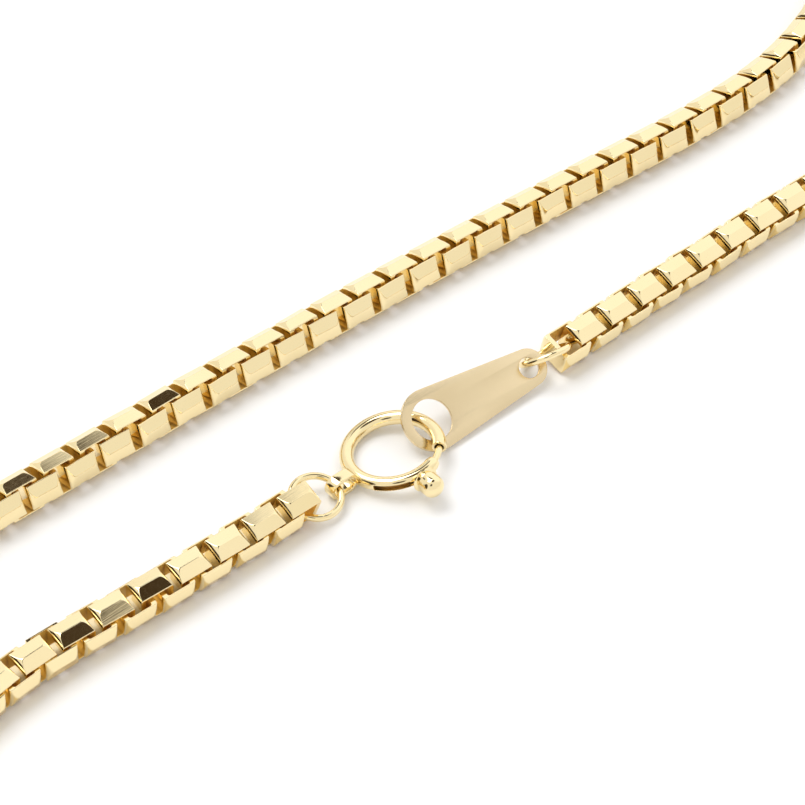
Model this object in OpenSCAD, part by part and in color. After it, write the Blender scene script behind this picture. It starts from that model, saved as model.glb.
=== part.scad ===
// Faceted box chain necklace with a spring ring clasp and a plain tapered tag.
// It lies fastened on a table: +Z is up, z = 0 is the table, and the two long strands run along X.
// The clasp and the tag sit in the strand at -Y, and each end of the necklace turns in a wide round.

/* [Chain] */
// Length of a link along the chain
link_l = 2.95; // [2.85:0.05:3.1]
// Height of a link across the chain, between the ridges of its broad faces
link_h = 3.4; // [3.3:0.05:3.6]
// Thickness of the strip that a link is bent from
link_strip = 0.45; // [0.4:0.01:0.47]
// Width of that strip
link_w = 2.16; // [1.9:0.02:2.2]
// Outer radius of the four bends of a link
link_bend = 0.62; // [0.52:0.02:0.8]
// Running clearance between two links along the chain
link_gap = 0.28; // [0.26:0.01:0.32]
// Angle of the two cut facets on each broad face
facet_angle = 17; // [14:1:20]

/* [Jump rings] */
// Outer diameter of the ring between chain and clasp
jump_od = 4.6; // [4.4:0.05:4.9]
// Outer diameter of the ring between tag and chain
connector_od = 4.8; // [4.75:0.05:4.95]
// Thickness of the wire of both rings
jump_wire = 0.6; // [0.4:0.05:0.65]

/* [Clasp] */
// Diameter of the middle line of the clasp ring
clasp_d = 7.54; // [7.4:0.02:7.7]
// Outer diameter of the clasp tube
tube_od = 1.18; // [1.1:0.02:1.22]
// Bore of the clasp tube
tube_bore = 0.78; // [0.76:0.02:0.84]
// Thickness of the gate wire that slides in the bore
gate_wire = 0.56; // [0.5:0.02:0.6]
// Width of the slot that the trigger's stem runs in
slot_w = 0.52; // [0.5:0.02:0.56]
// Thickness of the trigger's stem
stem_d = 0.3; // [0.26:0.02:0.32]
// Diameter of the trigger's knob over its flange
knob_d = 2.2; // [1.8:0.1:2.2]
// Length of the trigger's knob
knob_l = 1.9; // [1.6:0.1:2.1]
// Width of the lug that holds the jump ring
lug_w = 1.0; // [0.7:0.05:1.2]
// Height of the lug
lug_h = 1.9; // [1.8:0.05:2]
// Thickness of the lug's strip
lug_strip = 0.3; // [0.2:0.02:0.34]

/* [Tag] */
// Thickness of the tag
tag_t = 0.3; // [0.2:0.02:0.36]
// Distance between the two holes
tag_l = 10.05; // [9.9:0.05:10.2]
// Width of the broad end
tag_w = 5.3; // [5.1:0.05:5.5]
// Width of the narrow end
tag_end_w = 3.3; // [3:0.05:3.5]
// Diameter of the hole for the clasp
tag_hole_d = 3.5; // [3.3:0.05:3.6]
// Diameter of the hole for the connector ring
tag_end_hole_d = 1.8; // [1.7:0.05:1.9]

/* [Hidden] */

gold = [0.93, 0.80, 0.50];
tiny = 0.01;

// Places and tilts of the clasp, the tag and the rings, in mm and degrees
clasp_pos = [-6.8, -8.4];
clasp_tilt = 9.5;
clasp_high_side = -55;
tube_from = -45;
tube_to = 291;
knob_angle = 264.5;
gate_tip = -39;
gate_tail = -110;
slot_from = 209;
slot_to = 271;
tag_y = -8.3;
tag_heading = -3.5;
tag_lean = 34;
tag_drop = 1;
connector_lean = -44.7;
connector_turn = -9.2;
connector_aside = 0.24;
jump_lean = 11;
jump_drop = 0.5;
jump_aside = 0.16;

// Gaps at which the pieces hang in each other, from the clasp out to both ends of the chain
lug_reach = 2.95;
lug_sink = 0.2;
lug_play = 0.29;
ring_play = 0.58;
end_ring_play = 0.74;
tag_hook = 0.43;
tag_end_play = 0.78;
knob_play = 0.12;

// How far the connector ring draws the last link out of its neighbour
end_pull = 0.14;

// Places along X that follow from them
jump_r = (jump_od - jump_wire) / 2;
jump_x = clasp_pos.x - clasp_d / 2 - lug_reach + lug_strip + lug_play + jump_wire / 2 - jump_r;
chain_start = jump_x - jump_r + jump_wire / 2 + ring_play + link_strip - link_l / 2;
tag_x = clasp_pos.x + clasp_d / 2 + tag_hook;
connector_r = (connector_od - jump_wire) / 2;
connector_x = tag_x + tag_l * cos(tag_heading) + tag_end_hole_d / 2 - tag_end_play - jump_wire / 2
    + connector_r;
chain_end = connector_x + connector_r - jump_wire / 2 - end_ring_play - link_strip + link_l / 2
    + end_pull;

// Route of the middle of the chain from the jump ring round to the connector ring.
// Each row holds x, y and how far a link's broad face leans to the outside of the loop, in degrees.
route = [
    [chain_start, -8.4, 17],
    [-32, -8.4, 12],
    [-46, -7, 2],
    [-59, -13, 2],
    [-72, -20, 4],
    [-87, -21, 8],
    [-98, -13, 12],
    [-102.9, -0.5, 15],
    [-98, 12, 17],
    [-87, 20.5, 17],
    [-72, 20.5, 17],
    [-58, 13, 17],
    [-44, 6.6, 17],
    [-30, 6.8, 17],
    [-2, 6.5, 17],
    [26, 5.2, 17],
    [48, 3.6, 17],
    [62, 8, 17],
    [75, 16.8, 17],
    [88, 19.2, 17],
    [99, 10.5, 17],
    [102.9, -1, 17],
    [99, -12.5, 17],
    [88, -20, 17],
    [75, -18, 17],
    [61, -11, 17],
    [46, -8.9, 17],
    [28, -8.9, 17],
    [chain_end, -9.1, 17],
];

// Points between two of the route's points
route_steps = 24;

// Link: inner length and height of the loop, inner radius of its bends and height of the cut edges
link_inner = link_l - 2 * link_strip;
window_h = link_h - 2 * link_strip;
bend_inner = max(link_bend - link_strip, 0.05);
facet_edge = link_h / 2 - link_w / 2 * tan(facet_angle);

// One point of a smooth curve that four route points pull on
function curve_point(a, b, c, d, t) =
    (pow(1 - t, 3) * a + (3 * pow(t, 3) - 6 * t * t + 4) * b
     + (3 * t * t + 3 * t + 1 - 3 * pow(t, 3)) * c + pow(t, 3) * d) / 6;

// The route with a made-up point past each end, so that the curve starts and ends on it
last = len(route) - 1;
pulled = concat([2 * route[0] - route[1]], route, [2 * route[last] - route[last - 1]]);
track = concat(
    [for (i = [0:last - 1]) for (k = [0:route_steps - 1])
        curve_point(pulled[i], pulled[i + 1], pulled[i + 2], pulled[i + 3], k / route_steps)],
    [route[last]]);

// Length along the track up to each of its points
hops = [for (i = [0:len(track) - 1])
    i == 0 ? 0 : norm([track[i].x - track[i - 1].x, track[i].y - track[i - 1].y])];
travelled = [for (sum = 0, i = 0; i < len(hops); sum = sum + hops[i], i = i + 1) sum + hops[i]];
track_l = travelled[len(travelled) - 1];
x_by_length = [for (i = [0:len(track) - 1]) [travelled[i], track[i].x]];
y_by_length = [for (i = [0:len(track) - 1]) [travelled[i], track[i].y]];
lean_by_length = [for (i = [0:len(track) - 1]) [travelled[i], track[i].z]];

// An even number of links fills the track, so that both ends hold their ring by the right faces
link_count = 2 * round((track_l / (link_inner - link_gap) + 1) / 2);
link_pitch = track_l / (link_count - 1);
half_count = link_count / 2;
heading_reach = 0.4;

// Height of the chain's middle above the table when it leans by an angle
function reach(angle) = max(link_h / 2 * abs(cos(angle)),
                            link_w / 2 * abs(sin(angle)) + facet_edge * abs(cos(angle)));
function rest_height(lean) = max(reach(lean), reach(90 - lean));

function heading(at) = atan2(
    lookup(at + heading_reach, y_by_length) - lookup(at - heading_reach, y_by_length),
    lookup(at + heading_reach, x_by_length) - lookup(at - heading_reach, x_by_length));

// Shapes
module rounded_box(length, height, radius) {
    square([length, height - 2 * radius], center = true);
    square([length - 2 * radius, height], center = true);
    for (x = [-1, 1], y = [-1, 1])
        translate([x * (length / 2 - radius), y * (height / 2 - radius)]) circle(r = radius, $fn = 24);
}

module round_ended_bar(length, height) {
    square([length - height, height], center = true);
    for (x = [-1, 1])
        translate([x * (length - height) / 2, 0]) circle(d = height, $fn = 48);
}

module wire_ring(outer_d, wire_d) {
    rotate_extrude($fn = 72) translate([(outer_d - wire_d) / 2, 0]) circle(d = wire_d, $fn = 24);
}

// A round bar bent along the clasp ring's middle line, from one angle to another
module clasp_arc(from, to, d) {
    rotate([0, 0, from]) rotate_extrude(angle = to - from, $fn = 96)
        translate([clasp_d / 2, 0]) circle(d = d, $fn = 32);
}

// Chain
// A link stands on its bends: its loop lies in XZ, and the roof cut runs along X on top and below
module link() {
    intersection() {
        rotate([90, 0, 0]) linear_extrude(link_w + 1, center = true) difference() {
            rounded_box(link_l, link_h, link_bend);
            rounded_box(link_inner, window_h, bend_inner);
        }
        rotate([90, 0, 90]) linear_extrude(link_l + 1, center = true) polygon([
            [0, link_h / 2], [-link_w / 2, facet_edge], [-link_w / 2, -facet_edge],
            [0, -link_h / 2], [link_w / 2, -facet_edge], [link_w / 2, facet_edge]]);
    }
}

// Links number first to first + count - 1 on the route, each turned a quarter against the last
module chain(first, count) {
    for (i = [first:first + count - 1]) {
        at = i * link_pitch;
        lean = lookup(at, lean_by_length);
        pull = i == link_count - 1 ? end_pull : 0;
        translate([lookup(at, x_by_length) - pull, lookup(at, y_by_length), rest_height(lean)])
            rotate([0, 0, heading(at)])
            rotate([-lean - 90 * (i % 2), 0, 0])
            link();
    }
}

module chain_clasp_side() {
    color(gold) chain(0, half_count);
}

module chain_tag_side() {
    color(gold) chain(half_count, link_count - half_count);
}

// Rings of round wire
module jump_ring() {
    color(gold)
        translate([jump_x, route[0].y + jump_aside, rest_height(route[0].z) - jump_drop])
        rotate([jump_lean, 0, 0])
        wire_ring(jump_od, jump_wire);
}

module connector_ring() {
    color(gold)
        translate([connector_x, route[last].y + connector_aside,
                   connector_r * abs(sin(connector_lean)) + jump_wire / 2 + tiny])
        rotate([0, 0, connector_turn]) rotate([connector_lean, 0, 0])
        wire_ring(connector_od, jump_wire);
}

// Clasp: its ring leans, with the side at clasp_high_side up and the far side on the table
clasp_z = tube_od / 2 + clasp_d / 2 * sin(clasp_tilt);

module in_clasp() {
    translate([clasp_pos.x, clasp_pos.y, clasp_z])
        rotate([0, 0, clasp_high_side]) rotate([0, -clasp_tilt, 0]) rotate([0, 0, -clasp_high_side])
        children();
}

// Flat strip bent to an upright loop, soldered to the outside of the tube
module lug() {
    lug_l = lug_reach - lug_sink;
    translate([clasp_pos.x - clasp_d / 2 - (lug_reach + lug_sink) / 2, clasp_pos.y, lug_h / 2 + 0.05])
        rotate([90, 0, 0]) linear_extrude(lug_w, center = true) difference() {
            round_ended_bar(lug_l, lug_h);
            round_ended_bar(lug_l - 2 * lug_strip, lug_h - 2 * lug_strip);
        }
}

module clasp_ring() {
    color(gold) difference() {
        union() {
            in_clasp() clasp_arc(tube_from, tube_to, tube_od);
            lug();
        }
        in_clasp() clasp_arc(tube_from - 2, tube_to + 2, tube_bore);
        in_clasp() rotate([0, 0, slot_from]) rotate_extrude(angle = slot_to - slot_from, $fn = 96)
            translate([clasp_d / 2, -slot_w / 2]) square([tube_od, slot_w]);
    }
}

// The gate wire, its stem through the slot and the knob that a nail pulls by its flange
module clasp_gate() {
    stem_from = clasp_d / 2;
    knob_from = clasp_d / 2 + tube_od / 2 + knob_play;
    barrel_d = 0.86 * knob_d;
    dome_h = knob_l / 3;
    color(gold) in_clasp() {
        clasp_arc(gate_tail, gate_tip, gate_wire);
        rotate([0, 0, knob_angle]) rotate([0, 90, 0]) {
            translate([0, 0, stem_from]) cylinder(d = stem_d, h = knob_from - stem_from + tiny, $fn = 24);
            translate([0, 0, knob_from]) {
                cylinder(d = knob_d, h = knob_l / 8, $fn = 48);
                cylinder(d = 0.74 * knob_d, h = knob_l / 2, $fn = 48);
                translate([0, 0, knob_l / 5]) cylinder(d = barrel_d, h = knob_l * 0.8 - dome_h, $fn = 48);
                translate([0, 0, knob_l - dome_h - tiny])
                    cylinder(d1 = barrel_d, d2 = 0.55 * knob_d, h = dome_h + tiny, $fn = 48);
            }
        }
    }
}

// Tag: flat plate with a broad and a narrow round end and a hole in each
tag_z = tag_w / 2 * sin(tag_lean) + tag_t;

module tag_outline() {
    hull() {
        circle(d = tag_w, $fn = 72);
        translate([tag_l, 0]) circle(d = tag_end_w, $fn = 72);
    }
}

module tag_plate() {
    color(gold) translate([tag_x, tag_y, tag_z])
        rotate([0, 0, tag_heading]) rotate([0, tag_drop, 0]) rotate([tag_lean, 0, 0])
        linear_extrude(tag_t, center = true) difference() {
            tag_outline();
            circle(d = tag_hole_d, $fn = 72);
            translate([tag_l, 0]) circle(d = tag_end_hole_d, $fn = 48);
        }
}

chain_clasp_side();
chain_tag_side();
jump_ring();
clasp_ring();
clasp_gate();
tag_plate();
connector_ring();
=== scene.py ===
import bpy
import bmesh
import math
import random
import numpy as np
from mathutils import Matrix, Vector


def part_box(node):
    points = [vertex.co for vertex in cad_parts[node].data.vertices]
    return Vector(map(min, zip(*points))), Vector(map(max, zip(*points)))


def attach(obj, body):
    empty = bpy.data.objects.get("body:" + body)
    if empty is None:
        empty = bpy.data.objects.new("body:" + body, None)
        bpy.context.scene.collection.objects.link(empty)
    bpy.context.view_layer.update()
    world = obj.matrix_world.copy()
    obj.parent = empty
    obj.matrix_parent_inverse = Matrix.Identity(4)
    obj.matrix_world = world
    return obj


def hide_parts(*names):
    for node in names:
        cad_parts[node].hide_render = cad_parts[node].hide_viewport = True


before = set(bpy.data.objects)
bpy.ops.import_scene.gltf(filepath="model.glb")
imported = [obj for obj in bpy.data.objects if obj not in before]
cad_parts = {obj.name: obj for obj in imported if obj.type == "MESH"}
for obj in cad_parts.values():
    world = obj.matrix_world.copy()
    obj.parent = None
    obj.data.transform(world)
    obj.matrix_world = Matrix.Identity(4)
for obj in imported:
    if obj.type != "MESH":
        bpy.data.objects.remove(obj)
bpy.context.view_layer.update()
mm = 0.001  # pieces are drawn in millimetres and scaled down at the end
print("frame loaded:", len(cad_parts), "nodes")


class Value:
    # a node's output that can be used in plain arithmetic
    def __init__(self, shader, out):
        self.shader, self.out = shader, out

    def calc(self, operation, first, second):
        made = self.shader.node("Math", {"operation": operation}, {0: first, 1: second})
        return self.shader.value(made)

    def __add__(self, other): return self.calc("ADD", self, other)
    def __radd__(self, other): return self.calc("ADD", other, self)
    def __sub__(self, other): return self.calc("SUBTRACT", self, other)
    def __rsub__(self, other): return self.calc("SUBTRACT", other, self)
    def __mul__(self, other): return self.calc("MULTIPLY", self, other)
    def __rmul__(self, other): return self.calc("MULTIPLY", other, self)


class Shader:
    def __init__(self, holder):
        holder.use_nodes = True
        self.tree = holder.node_tree
        self.tree.nodes.clear()

    def node(self, kind, settings={}, sockets={}):
        made = self.tree.nodes.new("ShaderNode" + kind)
        for key, setting in settings.items():
            if key == "stops":
                ramp = made.color_ramp.elements
                while len(ramp) < len(setting):
                    ramp.new(0.5)
                for stop, (place, colour) in zip(ramp, setting):
                    stop.position, stop.color = place, (*colour, 1)
            else:
                setattr(made, key, setting)
        for key, given in sockets.items():
            if isinstance(given, Value):
                self.tree.links.new(given.out, made.inputs[key])
            else:
                made.inputs[key].default_value = given
        return made

    def value(self, made, name=0):
        return Value(self, made.outputs[name])

    def noise(self, scale, detail, place):
        made = self.node("TexNoise", {}, {"Vector": place, "Scale": scale, "Detail": detail})
        return self.value(made, "Fac" if "Fac" in made.outputs else 0)

    def blend(self, share, first, second):
        made = self.node("Mix", {"data_type": "RGBA"}, {"Factor": share})
        for index, given in ((6, first), (7, second)):
            if isinstance(given, Value):
                self.tree.links.new(given.out, made.inputs[index])
            else:
                made.inputs[index].default_value = (*given, 1)
        return Value(self, made.outputs[2])


# scratch is the strength of the fine lines, grain how much the polish varies
# gold finishes, and three materials with painted light: bounce light in the link windows, warm reflection on
# facets facing the table, shade in the clasp's bore
goldFinishesAndPaintedLight = {
    "cutGold": {"pale": (0.95, 0.81, 0.50), "deep": (0.92, 0.75, 0.41), "rough": 0.07, "grain": 0.06,
                "scratch": 0.12, "metal": 1.0},  # cut facets
    "paintedBounceGold": {"pale": (0.98, 0.68, 0.20), "deep": (0.95, 0.60, 0.13), "rough": 0.4, "grain": 0.1,
                   "scratch": 0.2, "metal": 0.35},  # window of the link: amber painted in as the light bounced from facet to facet
    "paintedWarmUnderGold": {"pale": (0.93, 0.72, 0.33), "deep": (0.90, 0.66, 0.26), "rough": 0.07, "grain": 0.06,
                  "scratch": 0.12, "metal": 1.0},  # facets that face the table: warmer gold painted in as the warm light reflected between chain and table
    "wireGold": {"pale": (0.95, 0.81, 0.50), "deep": (0.92, 0.75, 0.41), "rough": 0.1, "grain": 0.08,
                 "scratch": 0.1, "metal": 1.0},  # rings, clasp and gate
    "paintedShadeBoreGold": {"pale": (0.80, 0.60, 0.28), "deep": (0.62, 0.42, 0.17), "rough": 0.3, "grain": 0.1,
                 "scratch": 0.2, "metal": 0.8},  # inside of the clasp's tube: darker gold painted in as the shade in the bore
    "tagGold": {"pale": (0.83, 0.68, 0.43), "deep": (0.72, 0.57, 0.34), "rough": 0.2, "grain": 0.12,
                "scratch": 0.35, "metal": 1.0},
}
goldGrain = {
    "cloud": 180,  # soft change of tone over a few millimetres
    "haze": 2600,  # polishing haze
    "lines": (400, 9000, 9000),  # fine lines left by the cutter, drawn out along x
    "depth": 0.00001,
}


def goldMaterial(name):
    look = goldFinishesAndPaintedLight[name]
    made = bpy.data.materials.new(name)
    s = Shader(made)
    place = s.value(s.node("TexCoord"), "Object")
    cloud = s.noise(goldGrain["cloud"], 3, place)
    haze = s.noise(goldGrain["haze"], 4, place)
    drawn = s.value(s.node("Mapping", {}, {"Vector": place, "Scale": goldGrain["lines"]}))
    lines = s.noise(1, 3, drawn)
    colour = s.blend(cloud, look["deep"], look["pale"])
    roughness = look["rough"] + (haze - 0.5) * look["grain"]
    bump = s.node("Bump", {}, {"Strength": look["scratch"], "Distance": goldGrain["depth"], "Height": lines})
    gold = s.node("BsdfPrincipled", {}, {"Base Color": colour, "Metallic": look["metal"],
                                         "Roughness": roughness, "Normal": s.value(bump)})
    s.node("OutputMaterial", {}, {"Surface": s.value(gold)})
    return made


cutGold, paintedBounceGold, paintedWarmUnderGold, wireGold, paintedShadeBoreGold, tagGold = (goldMaterial(name) for name in goldFinishesAndPaintedLight)
print("finishes made")


def bevelSharp(bm, angle, width, segments=2):
    # rounds every edge whose faces meet at more than the angle
    edges = [e for e in bm.edges if len(e.link_faces) == 2 and e.calc_face_angle(0) > math.radians(angle)]
    bmesh.ops.bevel(bm, geom=edges, offset=width, offset_type="OFFSET", segments=segments,
                    profile=0.5, affect="EDGES", clamp_overlap=True)


def addPiece(name, mesh, node, body, finishesAndPaintedLight):
    made = bpy.data.objects.new(name, mesh)
    bpy.context.scene.collection.objects.link(made)
    for slotMaterial in finishesAndPaintedLight:
        mesh.materials.append(slotMaterial)
    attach(made, body)
    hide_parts(node)
    return made


def meshFrom(bm, name, matrix, sharpAngle=32):
    bmesh.ops.recalc_face_normals(bm, faces=bm.faces)
    bm.transform(Matrix.Scale(mm, 4) @ matrix)
    for face in bm.faces:
        face.smooth = True
    for edge in bm.edges:
        if len(edge.link_faces) == 2 and edge.calc_face_angle(0) > math.radians(sharpAngle):
            edge.smooth = False
    mesh = bpy.data.meshes.new(name)
    bm.to_mesh(mesh)
    bm.free()
    return mesh


def turn(axis, degrees):
    return Matrix.Rotation(math.radians(degrees), 4, axis)


def shift(x, y, z):
    return Matrix.Translation((x, y, z))


def ringPoint(big, small, around, across):
    # a point on a tube of radius small that runs round at radius big
    reach = big + small * math.cos(across)
    return reach * math.cos(around), reach * math.sin(around), small * math.sin(across)


def circlePoints(x, radius, count):
    angles = np.linspace(0, -2 * math.pi, count + 1)[:-1]
    return [(x + radius * math.cos(a), radius * math.sin(a)) for a in angles]


def lookFrom(place, target):
    return (Vector(target) - Vector(place)).to_track_quat("-Z", "Y").to_euler()


chain = {
    "length": 2.95, "height": 3.4, "strip": 0.45, "width": 2.16, "bend": 0.62, "gap": 0.28, "facetAngle": 17,
    "bendSteps": 6,  # facets in each bend
    "edge": 0.06,  # rounding of the cut edges
    "roll": 3.0, "nod": 1.8,  # how unevenly the links lie, in degrees
    "seed": 11,
}

jump = {"outer": 4.6, "wire": 0.6, "lean": 11}
connector = {"outer": 4.8, "wire": 0.6, "lean": -44.7, "turn": -9.2}
clasp = {
    "x": -6.8, "y": -8.4, "middle": 7.54, "tube": 1.18, "bore": 0.78, "tilt": 9.5, "highSide": -55,
    "from": -45, "to": 291, "slotFrom": 209, "slotTo": 271, "slot": 0.52,
    "taper": 0.16, "taperOver": 7,  # the tube narrows over its last degrees, where the gate comes out
    "lugReach": 2.95, "lugSink": 0.2, "lugWidth": 1.0, "lugHeight": 1.9, "lugStrip": 0.3, "lugPlay": 0.29,
}
gate = {"wire": 0.56, "tip": -39, "tail": -110, "stem": 0.3, "knob": 2.2, "length": 1.9, "knobAngle": 264.5,
        "play": 0.12, "slitTurn": 25}
tag = {"length": 10.05, "broad": 5.3, "narrow": 3.3, "hole": 3.5, "smallHole": 1.8, "thick": 0.3,
       "y": -8.3, "heading": -3.5, "lean": 34, "drop": 1, "hook": 0.43, "endPlay": 0.78, "rim": 0.05}
ringPlay, endRingPlay, endPull = 0.58, 0.74, 0.14  # the last link is drawn out by the ring

jumpRadius = (jump["outer"] - jump["wire"]) / 2
jumpX = (clasp["x"] - clasp["middle"] / 2 - clasp["lugReach"] + clasp["lugStrip"] + clasp["lugPlay"]
         + jump["wire"] / 2 - jumpRadius)
chainStart = jumpX - jumpRadius + jump["wire"] / 2 + ringPlay + chain["strip"] - chain["length"] / 2
tagX = clasp["x"] + clasp["middle"] / 2 + tag["hook"]
connectorRadius = (connector["outer"] - connector["wire"]) / 2
connectorX = (tagX + tag["length"] * math.cos(math.radians(tag["heading"])) + tag["smallHole"] / 2
              - tag["endPlay"] - connector["wire"] / 2 + connectorRadius)
chainEnd = (connectorX + connectorRadius - connector["wire"] / 2 - endRingPlay - chain["strip"]
            + chain["length"] / 2 + endPull)

# x, y and outward lean of the chain, round from the jump ring to the connector ring
route = np.array([
    (chainStart, -8.4, 17), (-32, -8.4, 12), (-46, -7, 2), (-59, -13, 2), (-72, -20, 4), (-87, -21, 8),
    (-98, -13, 12), (-102.9, -0.5, 15), (-98, 12, 17), (-87, 20.5, 17), (-72, 20.5, 17), (-58, 13, 17),
    (-44, 6.6, 17), (-30, 6.8, 17), (-2, 6.5, 17), (26, 5.2, 17), (48, 3.6, 17), (62, 8, 17), (75, 16.8, 17),
    (88, 19.2, 17), (99, 10.5, 17), (102.9, -1, 17), (99, -12.5, 17), (88, -20, 17), (75, -18, 17),
    (61, -11, 17), (46, -8.9, 17), (28, -8.9, 17), (chainEnd, -9.1, 17)])
routeSteps = 24


def trackPoints():
    pulled = np.vstack([2 * route[0] - route[1], route, 2 * route[-1] - route[-2]])
    points = []
    for i in range(len(route) - 1):
        a, b, c, d = pulled[i:i + 4]
        for k in range(routeSteps):
            t = k / routeSteps
            points.append(((1 - t) ** 3 * a + (3 * t ** 3 - 6 * t * t + 4) * b
                           + (3 * t * t + 3 * t + 1 - 3 * t ** 3) * c + t ** 3 * d) / 6)
    return np.array(points + [route[-1]])


track = trackPoints()
travelled = np.concatenate([[0], np.cumsum(np.hypot(*np.diff(track[:, :2], axis=0).T))])
inner = chain["length"] - 2 * chain["strip"]
window = chain["height"] - 2 * chain["strip"]
linkCount = 2 * round((travelled[-1] / (inner - chain["gap"]) + 1) / 2)
linkPitch = travelled[-1] / (linkCount - 1)
facetEdge = chain["height"] / 2 - chain["width"] / 2 * math.tan(math.radians(chain["facetAngle"]))


def restHeight(lean):
    def reach(angle):
        c, s = abs(math.cos(math.radians(angle))), abs(math.sin(math.radians(angle)))
        return max(chain["height"] / 2 * c, chain["width"] / 2 * s + facetEdge * c)
    return max(reach(lean), reach(90 - lean))


def roundedBox(length, height, radius, steps):
    points = []
    for quarter in range(4):
        mid = math.radians(45 + 90 * quarter)
        cx = math.copysign(length / 2 - radius, math.cos(mid))
        cz = math.copysign(height / 2 - radius, math.sin(mid))
        for k in range(steps + 1):
            a = math.radians(90 * (quarter + k / steps))
            points.append((cx + radius * math.cos(a), cz + radius * math.sin(a)))
    return points


def linkShape():
    # one link standing on its bends, in millimetres
    bm = bmesh.new()
    half = chain["width"] / 2
    outside = roundedBox(chain["length"], chain["height"], chain["bend"], chain["bendSteps"])
    hole = roundedBox(inner, window, max(chain["bend"] - chain["strip"], 0.05), chain["bendSteps"])
    rows = [[bm.verts.new((x, y, z)) for x, z in line] for line in (outside, hole) for y in (-half, half)]
    outNear, outFar, inNear, inFar = rows
    count = len(outside)
    for k in range(count):
        n = (k + 1) % count
        bm.faces.new((outNear[k], outNear[n], outFar[n], outFar[k]))
        bm.faces.new((inNear[n], inNear[k], inFar[k], inFar[n]))
        bm.faces.new((outNear[n], outNear[k], inNear[k], inNear[n]))
        bm.faces.new((outFar[k], outFar[n], inFar[n], inFar[k]))
    slope = math.radians(chain["facetAngle"])
    for sy in (-1, 1):
        for sz in (-1, 1):
            normal = (0, sy * math.sin(slope), sz * math.cos(slope))
            cut = bmesh.ops.bisect_plane(bm, geom=bm.verts[:] + bm.edges[:] + bm.faces[:], dist=1e-6,
                                         plane_co=(0, 0, sz * chain["height"] / 2), plane_no=normal,
                                         clear_outer=True)
            rim = [e for e in cut["geom_cut"] if isinstance(e, bmesh.types.BMEdge)]
            bmesh.ops.contextual_create(bm, geom=rim)
    bmesh.ops.recalc_face_normals(bm, faces=bm.faces)
    bevelSharp(bm, 18, chain["edge"])
    bmesh.ops.triangulate(bm, faces=[f for f in bm.faces if len(f.verts) > 4])
    bmesh.ops.recalc_face_normals(bm, faces=bm.faces)
    bm.faces.ensure_lookup_table()
    cuts = [Vector((0, 0, 1)), Vector((1, 0, 0)), Vector((0, 1, 0)),
            Vector((0, math.sin(slope), math.cos(slope))), Vector((0, -math.sin(slope), math.cos(slope)))]
    points = np.array([v.co for v in bm.verts])
    faces = [[v.index for v in f.verts] for f in bm.faces]
    flat = [max(abs(f.normal.dot(n)) for n in cuts) > 0.9999 for f in bm.faces]
    inward = []
    for f in bm.faces:
        c = f.calc_center_median()
        facesIn = f.normal.x * c.x + f.normal.z * c.z < -1e-4
        inward.append(facesIn and abs(c.x) < inner / 2 + 0.02 and abs(c.z) < window / 2 + 0.02)
    normals = np.array([f.normal for f in bm.faces])
    bm.free()
    return points, faces, flat, np.array(inward), normals


def linkPlace(i):
    at = i * linkPitch
    x, y, lean = (np.interp(at, travelled, track[:, k]) for k in range(3))
    ahead, behind = ([np.interp(at + step, travelled, track[:, k]) for k in range(2)] for step in (0.4, -0.4))
    heading = math.degrees(math.atan2(ahead[1] - behind[1], ahead[0] - behind[0]))
    x -= endPull if i == linkCount - 1 else 0
    return shift(x, y, restHeight(lean)) @ turn("Z", heading) @ turn("X", -lean - 90 * (i % 2))


def chainHalf(name, node, first, count, body):
    points, faces, flat, inward, normals = linkShape()
    low, high = (np.array(c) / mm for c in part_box(node))
    dice = random.Random(chain["seed"] + first)
    allPoints, allFaces, finishesAndPaintedLight = [], [], []
    for i in range(first, first + count):
        wobble = turn("X", dice.gauss(0, chain["roll"])) @ turn("Y", dice.gauss(0, chain["nod"]))
        for tilt in (wobble, Matrix.Identity(4)):
            m = np.array(linkPlace(i) @ tilt)
            placed = points @ m[:3, :3].T + m[:3, 3]
            placed[:, 2] += max(0, -placed[:, 2].min())
            if (placed.min(0) >= low - 1e-4).all() and (placed.max(0) <= high + 1e-4).all():
                break
        start = len(allPoints) * len(points)
        allPoints.append(placed)
        allFaces += [[start + v for v in f] for f in faces]
        under = (normals @ m[:3, :3].T)[:, 2] < -0.12  # painted reflection: faces turned to the table get the warmer gold, standing in for the warm light between chain and table
        # faces in the window get the amber painted as bounced light
        finishesAndPaintedLight.append(np.where(inward, 1, np.where(under, 2, 0)))
    mesh = bpy.data.meshes.new(name)
    mesh.from_pydata((np.vstack(allPoints) * mm).tolist(), [], allFaces)
    made = addPiece(name, mesh, node, body, [cutGold, paintedBounceGold, paintedWarmUnderGold])
    mesh.polygons.foreach_set("use_smooth", [not x for x in flat] * count)
    mesh.polygons.foreach_set("material_index", np.concatenate(finishesAndPaintedLight))
    mesh.update()
    print(name, "links:", count, "faces:", len(allFaces))
    return made


half = linkCount // 2
chainHalf("chainClaspSide", "chain_clasp_side", 0, half, "chain")
chainHalf("chainTagSide", "chain_tag_side", half, linkCount - half, "chain")


def wireRing(name, node, outer, wire, place, turnPlace):
    bm = bmesh.new()
    big, small, around, across = (outer - wire) / 2, wire / 2, 120, 32
    grid = []
    for i in range(around):
        a = 2 * math.pi * i / around
        # the closed ends of the wire show as a fine line
        pinch = 1 - 0.05 * math.exp(-((i - around / 2) / 0.8) ** 2)
        grid.append([bm.verts.new(ringPoint(big, small * pinch, a, 2 * math.pi * j / across))
                     for j in range(across)])
    for i in range(around):
        for j in range(across):
            n, m = (i + 1) % around, (j + 1) % across
            bm.faces.new((grid[i][j], grid[n][j], grid[n][m], grid[i][m]))
    mesh = meshFrom(bm, name, place @ turnPlace)
    return addPiece(name, mesh, node, "chain", [wireGold])


def middleOf(node):
    low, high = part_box(node)
    return shift(*((low + high) / 2 / mm))


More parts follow.
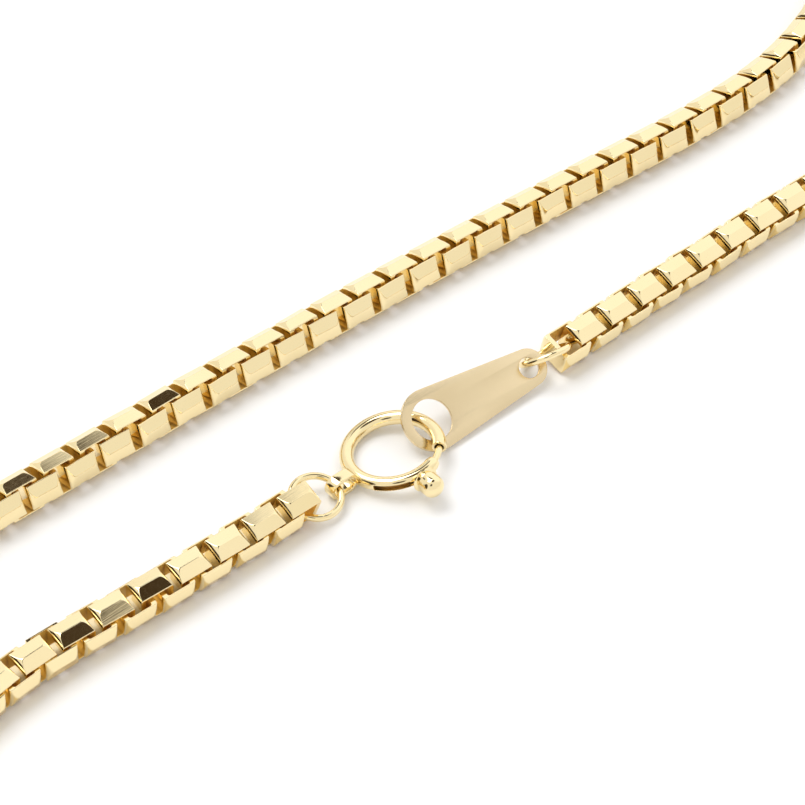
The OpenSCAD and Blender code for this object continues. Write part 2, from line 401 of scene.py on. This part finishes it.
wireRing("jumpRing", "jump_ring", jump["outer"], jump["wire"], middleOf("jump_ring"),
         turn("X", jump["lean"]) @ turn("Z", 70))
wireRing("connectorRing", "connector_ring", connector["outer"], connector["wire"],
         middleOf("connector_ring"),
         turn("Z", connector["turn"]) @ turn("X", connector["lean"]) @ turn("Z", 200))
print("wire rings made")


claspZ = clasp["tube"] / 2 + clasp["middle"] / 2 * math.sin(math.radians(clasp["tilt"]))
inClasp = (shift(clasp["x"], clasp["y"], claspZ) @ turn("Z", clasp["highSide"])
           @ turn("Y", -clasp["tilt"]) @ turn("Z", -clasp["highSide"]))


def claspTube(bm):
    big, wall, bore = clasp["middle"] / 2, clasp["tube"] / 2, clasp["bore"] / 2
    stations = np.concatenate([np.linspace(clasp["from"], clasp["slotFrom"], 100),
                               np.linspace(clasp["slotFrom"], clasp["slotTo"], 26)[1:],
                               np.linspace(clasp["slotTo"], clasp["to"], 14)[1:]])
    slotCols, restCols = 4, 36
    edgeOut, edgeIn = (math.asin(clasp["slot"] / 2 / r) for r in (wall, bore))

    def sectionAngles(edge):
        return np.concatenate([np.linspace(-edge, edge, slotCols + 1)[:-1],
                               np.linspace(edge, 2 * math.pi - edge, restCols + 1)[:-1]])
    grids = []
    for radius, edge in ((wall, edgeOut), (bore, edgeIn)):
        grid = []
        for theta in stations:
            a = math.radians(theta)
            nearEnd = max(0, (theta - clasp["to"] + clasp["taperOver"]) / clasp["taperOver"])
            r = radius * (1 - clasp["taper"] * nearEnd ** 1.5)
            grid.append([bm.verts.new(ringPoint(big, r, a, b)) for b in sectionAngles(edge)])
        grids.append(grid)
    out, into = grids
    cols = slotCols + restCols

    def slotted(i, j):
        within = clasp["slotFrom"] - 1e-6 <= stations[i] and stations[i + 1] <= clasp["slotTo"] + 1e-6
        return within and j < slotCols
    bores = []
    for i in range(len(stations) - 1):
        for j in range(cols):
            m = (j + 1) % cols
            if slotted(i, j):
                continue
            bm.faces.new((out[i][j], out[i + 1][j], out[i + 1][m], out[i][m]))
            bores.append(bm.faces.new((into[i][m], into[i + 1][m], into[i + 1][j], into[i][j])))
        if slotted(i, 0):
            for j in (0, slotCols):
                bm.faces.new((out[i][j], out[i + 1][j], into[i + 1][j], into[i][j]))
    for i in (0, len(stations) - 1):
        for j in range(cols):
            m = (j + 1) % cols
            bm.faces.new((out[i][j], out[i][m], into[i][m], into[i][j]))
    for i, theta in enumerate(stations):
        if abs(theta - clasp["slotFrom"]) < 1e-6 or abs(theta - clasp["slotTo"]) < 1e-6:
            for j in range(slotCols):
                bm.faces.new((out[i][j], out[i][j + 1], into[i][j + 1], into[i][j]))
    # bore faces get the darker gold, painted shade inside the tube
    for face in bores:
        face.material_index = 1


def lugStrap(bm):
    # flat strip bent round the jump ring, its ends in the tube's wall
    reachX, height, strip = clasp["lugReach"] - clasp["lugSink"], clasp["lugHeight"], clasp["lugStrip"]
    midX = clasp["x"] - clasp["middle"] / 2 - (clasp["lugReach"] + clasp["lugSink"]) / 2
    midZ, wide = height / 2 + 0.05, clasp["lugWidth"] / 2
    rows = []
    for inset in (0, strip):
        r = height / 2 - inset
        straight = (reachX - height) / 2
        bend = np.linspace(-math.pi / 2, math.pi / 2, 15)
        line = [(straight + r * math.cos(a), r * math.sin(a)) for a in bend]
        line += [(-x, -z) for x, z in line]
        rows += [[bm.verts.new((midX + x, clasp["y"] + y, midZ + z)) for x, z in line] for y in (-wide, wide)]
    outNear, outFar, inNear, inFar = rows
    count = len(outNear)
    for k in range(count):
        n = (k + 1) % count
        bm.faces.new((outNear[k], outNear[n], outFar[n], outFar[k]))
        bm.faces.new((inNear[n], inNear[k], inFar[k], inFar[n]))
        bm.faces.new((outNear[n], outNear[k], inNear[k], inNear[n]))
        bm.faces.new((outFar[k], outFar[n], inFar[n], inFar[k]))


tubeMesh = bmesh.new()
claspTube(tubeMesh)
bmesh.ops.recalc_face_normals(tubeMesh, faces=tubeMesh.faces)
bevelSharp(tubeMesh, 50, 0.025)
tubeMesh.transform(inClasp)
strapMesh = bmesh.new()
lugStrap(strapMesh)
bmesh.ops.recalc_face_normals(strapMesh, faces=strapMesh.faces)
bevelSharp(strapMesh, 50, 0.06, 3)
strapPart = bpy.data.meshes.new("strapPart")
strapMesh.to_mesh(strapPart)
strapMesh.free()
tubeMesh.from_mesh(strapPart)
addPiece("claspRing", meshFrom(tubeMesh, "claspRing", Matrix.Identity(4)), "clasp_ring", "chain",
         [wireGold, paintedShadeBoreGold])
print("clasp ring made")


def lathe(bm, profile, sides, axisMatrix):
    rows = []
    for r, h in profile:
        rows.append([bm.verts.new(axisMatrix @ Vector((r * math.cos(2 * math.pi * k / sides),
                                                       r * math.sin(2 * math.pi * k / sides), h)))
                     for k in range(sides)])
    for low, high in zip(rows, rows[1:]):
        for k in range(sides):
            n = (k + 1) % sides
            bm.faces.new((low[k], low[n], high[n], high[k]))
    bm.faces.new(rows[0][::-1])
    bm.faces.new(rows[-1])


def gateMesh():
    bm = bmesh.new()
    big, r = clasp["middle"] / 2, gate["wire"] / 2
    rows = []
    for theta in np.linspace(gate["tail"], gate["tip"], 48):
        a = math.radians(theta)
        fromTip = math.radians(gate["tip"] - theta) * big
        s = r * math.sqrt(max(0.02, 1 - (1 - min(1, fromTip / r)) ** 2))
        rows.append([bm.verts.new(ringPoint(big, s, a, b)) for b in np.linspace(0, 2 * math.pi, 25)[:-1]])
    for near, far in zip(rows, rows[1:]):
        for k in range(24):
            n = (k + 1) % 24
            bm.faces.new((near[k], far[k], far[n], near[n]))
    bm.faces.new(rows[0])
    bm.faces.new(rows[-1][::-1])
    knobFrom = big + clasp["tube"] / 2 + gate["play"]
    out = turn("Z", gate["knobAngle"]) @ turn("Y", 90)
    knob, length = gate["knob"] / 2, gate["length"]
    lathe(bm, [(gate["stem"] / 2, big), (gate["stem"] / 2, knobFrom + 0.02)], 24, out)
    flange = [(knob * 0.88, 0.0), (knob * 0.98, 0.03), (knob, 0.09), (knob * 0.97, 0.16), (knob * 0.86, 0.2)]
    neck = [(knob * 0.75, 0.25), (knob * 0.74, 0.33)]
    barrel = [(knob * 0.79, 0.38), (knob * 0.85, 0.46), (knob * 0.86, 0.7), (knob * 0.85, 1.15)]
    domeFrom = barrel[-1][1]
    dome = [(knob * 0.85 * math.cos(a), domeFrom + (length - domeFrom) * math.sin(a))
            for a in np.linspace(0.15, 1.45, 10)]
    body = bmesh.new()
    lathe(body, [(x, knobFrom + h) for x, h in flange + neck + barrel + dome], 64, out)
    slit = bmesh.new()  # cut along the side of the knob that faces up
    slitPlace = out @ turn("Z", gate["slitTurn"]) @ shift(-knob * 0.84, 0, knobFrom + 0.86)
    bmesh.ops.create_cube(slit, size=1, matrix=slitPlace @ Matrix.Diagonal((knob * 0.3, 0.09, 0.6, 1)))
    return bm, body, slit


def boolCut(body, cutter):
    # body minus cutter, both free meshes in millimetres
    bodyData, cutData = bpy.data.meshes.new("bodyData"), bpy.data.meshes.new("cutData")
    for bm, data in ((body, bodyData), (cutter, cutData)):
        bmesh.ops.recalc_face_normals(bm, faces=bm.faces)
        bm.to_mesh(data)
        bm.free()
    pair = [bpy.data.objects.new(d.name, d) for d in (bodyData, cutData)]
    for o in pair:
        bpy.context.scene.collection.objects.link(o)
    cut = pair[0].modifiers.new("cut", "BOOLEAN")
    cut.operation, cut.object, cut.solver = "DIFFERENCE", pair[1], "EXACT"
    made = bpy.data.meshes.new_from_object(pair[0].evaluated_get(bpy.context.evaluated_depsgraph_get()))
    for o in pair:
        bpy.data.objects.remove(o)
    return made


wireMesh, knobMesh, slitMesh = gateMesh()
wireMesh.from_mesh(boolCut(knobMesh, slitMesh))
bmesh.ops.recalc_face_normals(wireMesh, faces=wireMesh.faces)
addPiece("claspGate", meshFrom(wireMesh, "claspGate", inClasp, 28), "clasp_gate", "gate", [wireGold])
print("gate made")


def tagMesh():
    curve = bpy.data.curves.new("tagOutline", "CURVE")
    curve.dimensions, curve.fill_mode = "2D", "BOTH"
    curve.extrude, curve.bevel_depth = tag["thick"] / 2 - tag["rim"], tag["rim"]
    curve.bevel_resolution, curve.offset = 2, -tag["rim"]
    r1, r2, gapX = tag["broad"] / 2, tag["narrow"] / 2, tag["length"]
    touch = math.acos((r1 - r2) / gapX)
    broad = [(r1 * math.cos(a), r1 * math.sin(a)) for a in np.linspace(touch, 2 * math.pi - touch, 72)]
    narrow = [(gapX + r2 * math.cos(a), r2 * math.sin(a)) for a in np.linspace(-touch, touch, 48)]
    hole = circlePoints(0, tag["hole"] / 2, 72)
    small = circlePoints(gapX, tag["smallHole"] / 2, 48)
    for line in (broad + narrow, hole, small):
        spline = curve.splines.new("POLY")
        spline.points.add(len(line) - 1)
        for point, (x, y) in zip(spline.points, line):
            point.co = (x, y, 0, 1)
        spline.use_cyclic_u = True
    holder = bpy.data.objects.new("tagOutline", curve)
    bpy.context.scene.collection.objects.link(holder)
    flatMesh = bpy.data.meshes.new_from_object(holder.evaluated_get(bpy.context.evaluated_depsgraph_get()))
    bpy.data.objects.remove(holder)
    bm = bmesh.new()
    bm.from_mesh(flatMesh)
    bmesh.ops.remove_doubles(bm, verts=bm.verts, dist=1e-5)
    return bm


tagZ = tag["broad"] / 2 * math.sin(math.radians(tag["lean"])) + tag["thick"]
tagPlace = (shift(tagX, tag["y"], tagZ) @ turn("Z", tag["heading"]) @ turn("Y", tag["drop"])
            @ turn("X", tag["lean"]))
addPiece("tagPlate", meshFrom(tagMesh(), "tagPlate", tagPlace, 28), "tag_plate", "chain", [tagGold])
print("tag made")


table = {"size": 3, "white": (0.93, 0.93, 0.93, 1), "rough": 0.35}


def tableTop():
    bm = bmesh.new()
    bmesh.ops.create_grid(bm, x_segments=1, y_segments=1, size=table["size"])
    mesh = bpy.data.meshes.new("tableTop")
    bm.to_mesh(mesh)
    bm.free()
    made = bpy.data.objects.new("tableTop", mesh)
    bpy.context.scene.collection.objects.link(made)
    white = bpy.data.materials.new("tableWhite")
    s = Shader(white)
    cover = s.node("BsdfPrincipled", {}, {"Base Color": table["white"], "Roughness": table["rough"],
                                          "IOR": 1.45})
    s.node("OutputMaterial", {}, {"Surface": s.value(cover)})
    mesh.materials.append(white)


tableTop()

# compass direction and height of each patch of the room that the gold mirrors, in degrees
studio = {
    "tent": (0.96, 0.95, 0.93),  # white tent all round
    "window": (1.18, 1.19, 1.22), "windowAt": (70, 40), "windowSize": 42, "windowSoft": 16,
    "gap": (0.055, 0.036, 0.02),  # dark openings of the tent
    "gaps": [((19, 56), 12.6), ((222, 46), 11), ((118, 80), 14.6), ((288, 13), 24), ((20, 28), 3.5)],
}


def towards(compass, height):
    c, h = math.radians(compass), math.radians(height)
    return (math.sin(c) * math.cos(h), math.cos(c) * math.cos(h), math.sin(h))


def patchMask(s, direction, place, size, soft):
    facing = s.node("VectorMath", {"operation": "DOT_PRODUCT"}, {0: direction, 1: towards(*place)})
    near = s.node("MapRange", {"interpolation_type": "SMOOTHSTEP"}, {
        "Value": s.value(facing, "Value"), "From Min": math.cos(math.radians(size + soft)),
        "From Max": math.cos(math.radians(max(0.5, size - soft)))})
    return s.value(near)


def makeWorld():
    world = bpy.data.worlds.new("studio")
    bpy.context.scene.world = world
    s = Shader(world)
    direction = s.value(s.node("TexCoord"), "Generated")
    glow = patchMask(s, direction, studio["windowAt"], studio["windowSize"], studio["windowSoft"])
    colour = s.blend(glow, studio["tent"], studio["window"])
    for place, size in studio["gaps"]:
        colour = s.blend(patchMask(s, direction, place, size, 0.7), colour, studio["gap"])
    glowing = s.node("Background", {}, {"Color": colour, "Strength": 1.0})
    s.node("OutputWorld", {}, {"Surface": s.value(glowing)})


makeWorld()
bpy.context.scene.view_settings.view_transform = "Standard"  # bright, clean whites as in a product photograph


topBox = {"place": (-0.1, 0.35, 0.75), "target": (0, 0, 0), "size": 0.5, "power": 3.2}


def softBox(name, setup):
    light = bpy.data.lights.new(name, "AREA")
    light.shape, light.size, light.energy = "SQUARE", setup["size"], setup["power"]
    made = bpy.data.objects.new(name, light)
    bpy.context.scene.collection.objects.link(made)
    made.location = setup["place"]
    made.rotation_euler = lookFrom(setup["place"], setup["target"])


softBox("topBox", topBox)

cameraSetup = {"place": (-0.103715, -0.122673, 0.161851), "target": (-0.002, -0.004, 0), "lens": 122.57}
camera = bpy.data.cameras.new("camera")
camera.lens, camera.sensor_width = cameraSetup["lens"], 36
camera.clip_start, camera.clip_end = 0.01, 20
viewer = bpy.data.objects.new("camera", camera)
bpy.context.scene.collection.objects.link(viewer)
viewer.location = cameraSetup["place"]
viewer.rotation_euler = lookFrom(cameraSetup["place"], cameraSetup["target"])
bpy.context.scene.camera = viewer
print("table, light and camera made")
